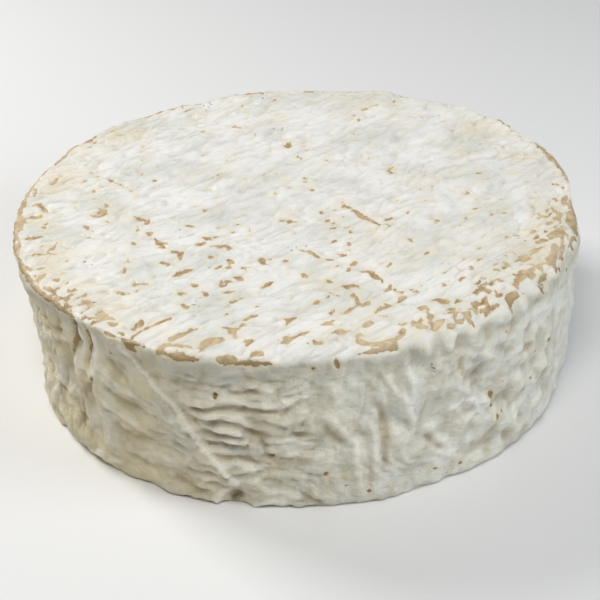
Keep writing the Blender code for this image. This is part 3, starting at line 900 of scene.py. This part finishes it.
def rind_mesh():
    """The wheel with its growth. Each vertex keeps, for the rind's colours, its place on the smooth wheel, how bare
    it is, and its height in the growth with the drawn folds counted more, from which crests get a painted highlight
    and clefts painted shade."""
    bm = divided_wheel()
    spots = [crowded(v.co.z, hexagon_place(v.co)[1] if v.co.z < 3 else 0.0) for v in bm.verts]
    points, places, facings = zip(*(moulded_point(*spot) for spot in spots))
    places_now = np.array(places)
    bare = bare_skin(places_now).tolist()
    bent = np.array([place + FOLD_BEND * noise.noise_vector(place / FOLD_BEND_LENGTH) for place in places])
    drawn = drawn_relief(bent).tolist()
    reliefs = []
    depths = []
    for (share, angle), point, place, facing, depth, fold, vert in zip(
        spots, points, places, facings, bare, drawn, bm.verts
    ):
        wall_part = smooth(1.0, 1.0 + RIM_SHARE, share)
        streaks = streak_relief(place)
        at_edge = math.exp(-(((share - 1 - RIM_SHARE / 2) / RIM_SHARE) ** 2))
        cover = UNEVEN_MARK * noise.noise(place / UNEVEN_LENGTH) + STREAK_COVER * (0.5 - streaks)
        depth += (1 - EDGE_HOLD * at_edge) * cover
        depth += at_edge * UNEVEN_EDGE * noise.noise(Vector((place.x, place.y, 0)) / UNEVEN_EDGE_LENGTH)
        relief = (1 - wall_part) * (streaks - 0.55) * STREAK_HEIGHT
        if wall_part:
            relief += wall_part * (wall_relief(place, angle) + fold) + lobe_relief(place, angle)
        relief += BARE_LIP * math.exp(-(((depth + 0.9) / 0.7) ** 2)) - BARE_SINK * smooth(-0.5, 0.5, depth)
        relief *= 1 - smooth(2 - HEEL_SHARE / 2, 2.0, share)
        depths.append(depth)
        # The height kept for the colours counts the drawn folds more, for a painted highlight on their ridges and
        # painted shade in their cracks
        reliefs.append((relief + FOLD_PAINTED_LIGHT * wall_part * fold) / MM)
        vert.co = point + relief * facing
        vert.co.z = max(0.0, vert.co.z)
    mesh = bpy.data.meshes.new("cheese_rind")
    bm.to_mesh(mesh)
    bm.free()
    mesh.attributes.new("place", "FLOAT_VECTOR", "POINT").data.foreach_set("vector", np.array(places).ravel())
    mesh.attributes.new("relief", "FLOAT", "POINT").data.foreach_set("value", reliefs)
    mesh.attributes.new("bare", "FLOAT", "POINT").data.foreach_set("value", depths)
    xs = [v.co.x for v in mesh.vertices]
    ys = [v.co.y for v in mesh.vertices]
    mesh.transform(Matrix.Translation((-(min(xs) + max(xs)) / 2, -(min(ys) + max(ys)) / 2, 0)))
    mesh.shade_smooth()
    return mesh


wheel = bpy.data.objects.new("cheese_rind", rind_mesh())
bpy.context.scene.collection.objects.link(wheel)


# The mould and the skin
# A dense white felt of mould, matt with a faint nap and slightly see-through, warmer where it is thin, over
# a drier ochre skin. Colours follow the relief: clefts are painted darker and browner, partly as shade and
# partly as the skin's colour, crests are painted whiter as a highlight, and the wall under the rim greyer as shade.

FACE_MOULD = "#F7F6F2"
OLIVE_WALL = "#DFD3B0"  # the wall towards the left, warmer and darker than towards the right
WHITE_WALL = "#E6E5D8"
COOL_MOULD = "#DCDED6"
CREAM_MOULD = "#ECDDBA"
# painted shade in the clefts, partly the skin's colour showing through
CLEFT_SKIN_AND_SHADE_TAN = "#AFA081"
CLEFT_SKIN_AND_SHADE_BROWN = "#98885F"
# painted highlight on the crests
CREST_HIGHLIGHT_WHITE = "#F5F1E2"
CRACK_BROWN = "#9C855A"
GREY_OLIVE = "#B3A98B"
# painted shade under the rim
UNDER_RIM_SHADE_GREY = "#B9B9AB"
OCHRE_SKIN = "#D6BF98"
DEEP_OCHRE = "#AE916A"
SPOT_YELLOW = "#D2BE7E"
SPECK_BROWN = "#75583A"


def linear(code):
    """The linear colour of an sRGB hex value."""
    channels = (int(code[k : k + 2], 16) / 255 for k in (1, 3, 5))
    return (*(c / 12.92 if c <= 0.04045 else ((c + 0.055) / 1.055) ** 2.4 for c in channels), 1.0)


def add(tree, kind, inputs=(), **settings):
    """A new node with its settings. Each input is a value, or a node or socket to link."""
    node = tree.nodes.new(kind)
    for name, value in settings.items():
        setattr(node, name, value)
    for key, value in inputs.items() if isinstance(inputs, dict) else enumerate(inputs):
        if isinstance(value, bpy.types.Node):
            value = next(output for output in value.outputs if output.enabled)
        if isinstance(value, bpy.types.NodeSocket):
            tree.links.new(value, node.inputs[key])
        else:
            node.inputs[key].default_value = value
    return node


def felted_mould():
    """Bloomy rind: matt white felt with a soft glow, and drier ochre skin in the worn marks."""
    material = bpy.data.materials.new("felted_mould")
    material.use_nodes = True
    tree = material.node_tree
    tree.nodes.clear()
    place = add(tree, "ShaderNodeAttribute", attribute_name="place").outputs["Vector"]
    relief = add(tree, "ShaderNodeAttribute", attribute_name="relief").outputs["Fac"]
    bare = add(tree, "ShaderNodeAttribute", attribute_name="bare").outputs["Fac"]
    aside, _, height = add(tree, "ShaderNodeSeparateXYZ", {0: place}).outputs
    below = add(tree, "ShaderNodeMath", (WHEEL_HEIGHT, height), operation="SUBTRACT")
    sharper = add(
        tree,
        "ShaderNodeMapRange",
        {"Value": aside, "From Min": -50 * MM, "From Max": 20 * MM, "To Min": 3.0, "To Max": 1.0},
    )
    below = add(tree, "ShaderNodeMath", (below, sharper), operation="MULTIPLY")
    on_face = add(
        tree,
        "ShaderNodeMapRange",
        {"Value": below, "From Min": 0.8 * MM, "From Max": 5 * MM, "To Min": 1.0, "To Max": 0.0},
        interpolation_type="SMOOTHSTEP",
    )

    # Ragged borders of the marks: the noise shifts them by up to half a millimetre
    ragged = add(
        tree, "ShaderNodeTexNoise", {"Vector": place, "Scale": 1 / (1.7 * MM), "Detail": 3.0, "Roughness": 0.6}
    )
    shift = add(tree, "ShaderNodeMapRange", {"Value": ragged, "From Min": 0.25, "From Max": 0.75, "To Min": -0.3, "To Max": 0.6})
    depth = add(tree, "ShaderNodeMath", (bare, shift), operation="ADD")
    skin = add(
        tree,
        "ShaderNodeMapRange",
        {"Value": depth, "From Min": -0.05, "From Max": 0.16},
        interpolation_type="SMOOTHSTEP",
    )
    thin = add(
        tree,
        "ShaderNodeMapRange",
        {"Value": depth, "From Min": -2.6, "From Max": 0.2},
        interpolation_type="SMOOTHSTEP",
    )

    # Fine streaks of the face, drawn out along the swells, and fine wrinkles of the wall
    turned = add(
        tree, "ShaderNodeVectorRotate", {"Vector": place, "Angle": -SWELL_DIRECTION}, rotation_type="Z_AXIS"
    )
    stretched = add(
        tree,
        "ShaderNodeVectorMath",
        (turned, (1 / (12 * MM), 1 / (4 * MM), 1 / (4 * MM))),
        operation="MULTIPLY",
    )
    streaks = add(tree, "ShaderNodeTexNoise", {"Vector": stretched, "Scale": 1.0, "Detail": 4.0, "Roughness": 0.6, "Distortion": 0.8})
    wrinkled = add(
        tree,
        "ShaderNodeVectorMath",
        (place, (1 / (6 * MM), 1 / (6 * MM), 1 / (3.5 * MM))),
        operation="MULTIPLY",
    )
    wrinkles = add(tree, "ShaderNodeTexNoise", {"Vector": wrinkled, "Scale": 1.0, "Detail": 5.0, "Roughness": 0.6, "Distortion": 0.3})
    fine = add(tree, "ShaderNodeMix", {"Factor": on_face, "A": wrinkles.outputs[0], "B": streaks.outputs[0]})
    fine = add(tree, "ShaderNodeMapRange", {"Value": fine, "From Min": 0.3, "From Max": 0.7})
    nap = add(
        tree, "ShaderNodeTexNoise", {"Vector": place, "Scale": 1 / (0.7 * MM), "Detail": 2.0, "Roughness": 0.6}
    )

    # The white of the mould, with cream and cool clouds, then grey-olive blotches, painted shade under the rim, a
    # painted highlight on crests, painted shade in clefts that is partly the skin's colour, thin mould, yellow
    # spots, specks and bare skin over it
    clouds = add(tree, "ShaderNodeTexNoise", {"Vector": place, "Scale": 1 / (19 * MM), "Detail": 3.0})
    clouds = add(tree, "ShaderNodeSeparateColor", {0: clouds.outputs["Color"]})
    cool = add(tree, "ShaderNodeMapRange", {"Value": clouds.outputs[0], "From Min": 0.45, "From Max": 0.68, "To Max": 0.7})
    cream = add(tree, "ShaderNodeMapRange", {"Value": clouds.outputs[1], "From Min": 0.52, "From Max": 0.74, "To Max": 0.28})
    white_side = add(
        tree,
        "ShaderNodeMapRange",
        {"Value": aside, "From Min": -80 * MM, "From Max": 30 * MM},
        interpolation_type="SMOOTHSTEP",
    )
    wall = add(
        tree,
        "ShaderNodeMix",
        {"Factor": white_side, "A": linear(OLIVE_WALL), "B": linear(WHITE_WALL)},
        data_type="RGBA",
    )
    colour = add(tree, "ShaderNodeMix", {"Factor": on_face, "A": wall, "B": linear(FACE_MOULD)}, data_type="RGBA")
    colour = add(tree, "ShaderNodeMix", {"Factor": cool, "A": colour, "B": linear(COOL_MOULD)}, data_type="RGBA")
    flat_place = add(tree, "ShaderNodeVectorMath", (place, (1.0, 1.0, 0.0)), operation="MULTIPLY")
    from_axis = add(tree, "ShaderNodeVectorMath", (flat_place,), operation="LENGTH")
    off_belt = add(tree, "ShaderNodeMath", (from_axis.outputs["Value"], 89 * MM), operation="SUBTRACT")
    off_belt = add(tree, "ShaderNodeMath", (off_belt,), operation="ABSOLUTE")
    rim_cream = add(
        tree,
        "ShaderNodeMapRange",
        {"Value": off_belt, "From Min": 2 * MM, "From Max": 11 * MM, "To Min": 0.9, "To Max": 0.0},
        interpolation_type="SMOOTHSTEP",
    )
    sideways = add(tree, "ShaderNodeMath", (aside,), operation="ABSOLUTE")
    sideways = add(
        tree,
        "ShaderNodeMapRange",
        {"Value": sideways, "From Min": 25 * MM, "From Max": 75 * MM, "To Min": 0.25, "To Max": 1.0},
    )
    rim_cream = add(tree, "ShaderNodeMath", (rim_cream, sideways), operation="MULTIPLY")
    patches = add(
        tree,
        "ShaderNodeMapRange",
        {"Value": clouds.outputs[2], "From Min": 0.44, "From Max": 0.64, "To Min": 0.05, "To Max": 0.55},
    )
    rim_cream = add(tree, "ShaderNodeMath", (rim_cream, patches), operation="MULTIPLY")
    rim_cream = add(tree, "ShaderNodeMath", (rim_cream, on_face), operation="MULTIPLY")
    cream = add(tree, "ShaderNodeMath", (rim_cream, cream), operation="ADD")
    colour = add(tree, "ShaderNodeMix", {"Factor": cream, "A": colour, "B": linear(CREAM_MOULD)}, data_type="RGBA")
    blotches = add(tree, "ShaderNodeTexNoise", {"Vector": place, "Scale": 1 / (9 * MM), "Detail": 4.0, "Roughness": 0.6})
    blotches = add(tree, "ShaderNodeMapRange", {"Value": blotches, "From Min": 0.42, "From Max": 0.66})
    off_face = add(tree, "ShaderNodeMath", (1.0, on_face), operation="SUBTRACT")
    shade = add(tree, "ShaderNodeMath", (blotches, off_face), operation="MULTIPLY")
    shade = add(tree, "ShaderNodeMath", (shade, 0.48), operation="MULTIPLY")
    colour = add(tree, "ShaderNodeMix", {"Factor": shade, "A": colour, "B": linear(GREY_OLIVE)}, data_type="RGBA")
    # Painted shade: the wall is painted greyer from 48 mm up to the face, all the way round, as the shade under the
    # rim
    under_rim_shade = add(
        tree,
        "ShaderNodeMapRange",
        {"Value": height, "From Min": 48 * MM, "From Max": 55 * MM},
        interpolation_type="SMOOTHSTEP",
    )
    under_rim_shade = add(tree, "ShaderNodeMath", (under_rim_shade, off_face), operation="MULTIPLY")
    under_rim_shade = add(tree, "ShaderNodeMath", (under_rim_shade, 0.55), operation="MULTIPLY")
    colour = add(tree, "ShaderNodeMix", {"Factor": under_rim_shade, "A": colour, "B": linear(UNDER_RIM_SHADE_GREY)}, data_type="RGBA")
    # Painted highlight and shade: crests of the relief are painted whiter, and clefts and fine creases darker and
    # browner, partly as shade and partly as the skin's colour showing through
    low = add(tree, "ShaderNodeMapRange", {"Value": relief, "From Min": 0.05, "From Max": -1.1, "To Max": 1.0})
    high = add(tree, "ShaderNodeMapRange", {"Value": relief, "From Min": 0.3, "From Max": 1.3, "To Max": 0.8})
    colour = add(tree, "ShaderNodeMix", {"Factor": high, "A": colour, "B": linear(CREST_HIGHLIGHT_WHITE)}, data_type="RGBA")
    crease = add(tree, "ShaderNodeMath", (0.55, fine), operation="SUBTRACT")
    low = add(tree, "ShaderNodeMath", (crease, 0.45, low), operation="MULTIPLY_ADD")
    depth_of_low = add(tree, "ShaderNodeMapRange", {"Value": on_face, "To Min": 0.68, "To Max": 0.5})
    low = add(tree, "ShaderNodeMath", (low, depth_of_low), operation="MULTIPLY")
    cleft = add(
        tree,
        "ShaderNodeMix",
        {"Factor": white_side, "A": linear(CLEFT_SKIN_AND_SHADE_BROWN), "B": linear(CLEFT_SKIN_AND_SHADE_TAN)},
        data_type="RGBA",
    )
    colour = add(tree, "ShaderNodeMix", {"Factor": low, "A": colour, "B": cleft}, data_type="RGBA")
    thin = add(tree, "ShaderNodeMath", (thin, 0.35), operation="MULTIPLY")
    colour = add(tree, "ShaderNodeMix", {"Factor": thin, "A": colour, "B": linear(CREAM_MOULD)}, data_type="RGBA")
    spots = add(tree, "ShaderNodeTexNoise", {"Vector": place, "Scale": 1 / (5 * MM), "Detail": 1.0})
    spots = add(tree, "ShaderNodeMapRange", {"Value": spots, "From Min": 0.68, "From Max": 0.8, "To Max": 0.45})
    colour = add(tree, "ShaderNodeMix", {"Factor": spots, "A": colour, "B": linear(SPOT_YELLOW)}, data_type="RGBA")
    specks = add(tree, "ShaderNodeTexNoise", {"Vector": place, "Scale": 1 / (1.1 * MM), "Detail": 1.0})
    gather = add(tree, "ShaderNodeTexNoise", {"Vector": place, "Scale": 1 / (14 * MM), "Detail": 1.0})
    specks = add(tree, "ShaderNodeMath", (specks, gather), operation="ADD")
    specks = add(tree, "ShaderNodeMapRange", {"Value": specks, "From Min": 1.42, "From Max": 1.46, "To Max": 0.75})
    colour = add(tree, "ShaderNodeMix", {"Factor": specks, "A": colour, "B": linear(SPECK_BROWN)}, data_type="RGBA")
    grain = add(tree, "ShaderNodeTexNoise", {"Vector": place, "Scale": 1 / (2.2 * MM), "Detail": 4.0})
    grain = add(tree, "ShaderNodeMapRange", {"Value": grain, "From Min": 0.35, "From Max": 0.65})
    ochre = add(
        tree,
        "ShaderNodeMix",
        {"Factor": grain, "A": linear(OCHRE_SKIN), "B": linear(DEEP_OCHRE)},
        data_type="RGBA",
    )
    veil = add(
        tree,
        "ShaderNodeMapRange",
        {"Value": clouds.outputs[1], "From Min": 0.40, "From Max": 0.60, "To Max": 0.5},
    )
    near_edge = add(
        tree,
        "ShaderNodeMapRange",
        {"Value": off_belt, "From Min": 4 * MM, "From Max": 22 * MM, "To Min": 1.0, "To Max": 0.0},
    )
    veil = add(tree, "ShaderNodeMath", (veil, near_edge), operation="MULTIPLY")
    ochre = add(tree, "ShaderNodeMix", {"Factor": veil, "A": ochre, "B": linear(CREAM_MOULD)}, data_type="RGBA")
    outer = add(tree, "ShaderNodeMapRange", {"Value": below, "From Min": 0.6 * MM, "From Max": 3 * MM})
    ochre = add(tree, "ShaderNodeMix", {"Factor": outer, "A": ochre, "B": linear(CRACK_BROWN)}, data_type="RGBA")
    colour = add(tree, "ShaderNodeMix", {"Factor": skin, "A": colour, "B": ochre}, data_type="RGBA")

    # Relief finer than the mesh: streaks and wrinkles, the nap, and the step down to the bare skin
    bumps = add(tree, "ShaderNodeMath", (fine, 0.52), operation="MULTIPLY")
    bumps = add(tree, "ShaderNodeMath", (nap, 0.09, bumps), operation="MULTIPLY_ADD")
    bumps = add(tree, "ShaderNodeMath", (skin, -0.16, bumps), operation="MULTIPLY_ADD")
    bump = add(tree, "ShaderNodeBump", {"Strength": 1.0, "Distance": MM, "Height": bumps})
    roughness = add(tree, "ShaderNodeMapRange", {"Value": skin, "To Min": 0.46, "To Max": 0.42})
    surface = add(
        tree,
        "ShaderNodeBsdfPrincipled",
        {
            "Base Color": colour,
            "Roughness": roughness,
            "Normal": bump,
            "IOR": 1.45,
            "Subsurface Weight": 0.15,
            "Subsurface Radius": (1.0, 0.75, 0.45),
            "Subsurface Scale": 1.2 * MM,
            "Sheen Weight": 0.06,
            "Sheen Roughness": 0.5,
        },
    )
    add(tree, "ShaderNodeOutputMaterial", {"Surface": surface})
    return material


wheel.data.materials.append(felted_mould())
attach(wheel, "root")
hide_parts("cheese_wheel")


# The table
# A plain pale table top, matt, that the wheel lies on.

TABLE_SIZE = 6.0
TABLE_WHITE = "#ECECEC"


def pale_table():
    bpy.ops.mesh.primitive_plane_add(size=TABLE_SIZE)
    table = bpy.context.object
    table.name = "pale_table"
    material = bpy.data.materials.new("pale_table")
    material.use_nodes = True
    shader = material.node_tree.nodes["Principled BSDF"]
    shader.inputs["Base Color"].default_value = linear(TABLE_WHITE)
    shader.inputs["Roughness"].default_value = 0.8
    table.data.materials.append(material)


pale_table()


# The studio light
# A large soft box hangs overhead, a little behind and to the left, so the face is bright and the wall is
# in its own shade. A weaker cool one lights the wall from the right.

# Name, place, width of the box, power and colour
SOFT_BOXES = (
    ("back_box", (-0.62, 0.40, 0.62), 0.30, 5.2, "#FFFEFC"),
    ("front_box", (-0.10, -0.50, 1.00), 0.35, 4.9, "#FFFCF4"),
    ("side_box", (0.95, -0.38, 0.50), 0.5, 5.5, "#EAF2FF"),
)
SKY_WHITE = "#F4F6FA"
SKY_STRENGTH = 0.14


def studio_light():
    for name, place, width, power, code in SOFT_BOXES:
        lamp = bpy.data.lights.new(name, "AREA")
        lamp.size = width
        lamp.energy = power
        lamp.color = linear(code)[:3]
        box = bpy.data.objects.new(name, lamp)
        box.location = place
        box.rotation_euler = (-Vector(place)).to_track_quat("-Z", "Y").to_euler()
        bpy.context.scene.collection.objects.link(box)
    world = bpy.data.worlds.new("soft_room")
    world.use_nodes = True
    sky = world.node_tree.nodes["Background"]
    sky.inputs["Color"].default_value = linear(SKY_WHITE)
    sky.inputs["Strength"].default_value = SKY_STRENGTH
    bpy.context.scene.world = world
    bpy.context.scene.view_settings.view_transform = "Standard"


studio_light()


# The camera
# It stands in front of the wheel at five times its radius and looks down on it, slightly rolled.

CAMERA_DISTANCE = 5 * WHEEL_RADIUS
CAMERA_ELEVATION = math.radians(30.7)
CAMERA_ROLL = math.radians(2.62)
CAMERA_TILT = -0.0195  # aims below the wheel's middle, as a share of the distance
IMAGE_PIXELS = 600
FOCAL_PIXELS = 1361
SENSOR_MM = 36


def photo_camera():
    data = bpy.data.cameras.new("photo_camera")
    data.sensor_width = SENSOR_MM
    data.lens = SENSOR_MM * FOCAL_PIXELS / IMAGE_PIXELS
    camera = bpy.data.objects.new("photo_camera", data)
    bpy.context.scene.collection.objects.link(camera)
    back = Vector((0, -math.cos(CAMERA_ELEVATION), math.sin(CAMERA_ELEVATION)))
    right = Vector((1, 0, 0))
    ahead = (CAMERA_TILT * right.cross(-back) - back).normalized()
    up = right.cross(ahead)
    turned = Matrix.Rotation(CAMERA_ROLL, 3, ahead)
    axes = Matrix((turned @ right, turned @ up, -ahead)).transposed()
    middle = Vector((0, 0, WHEEL_HEIGHT / 2))
    camera.matrix_world = Matrix.Translation(middle + CAMERA_DISTANCE * back) @ axes.to_4x4()
    bpy.context.scene.camera = camera


photo_camera()
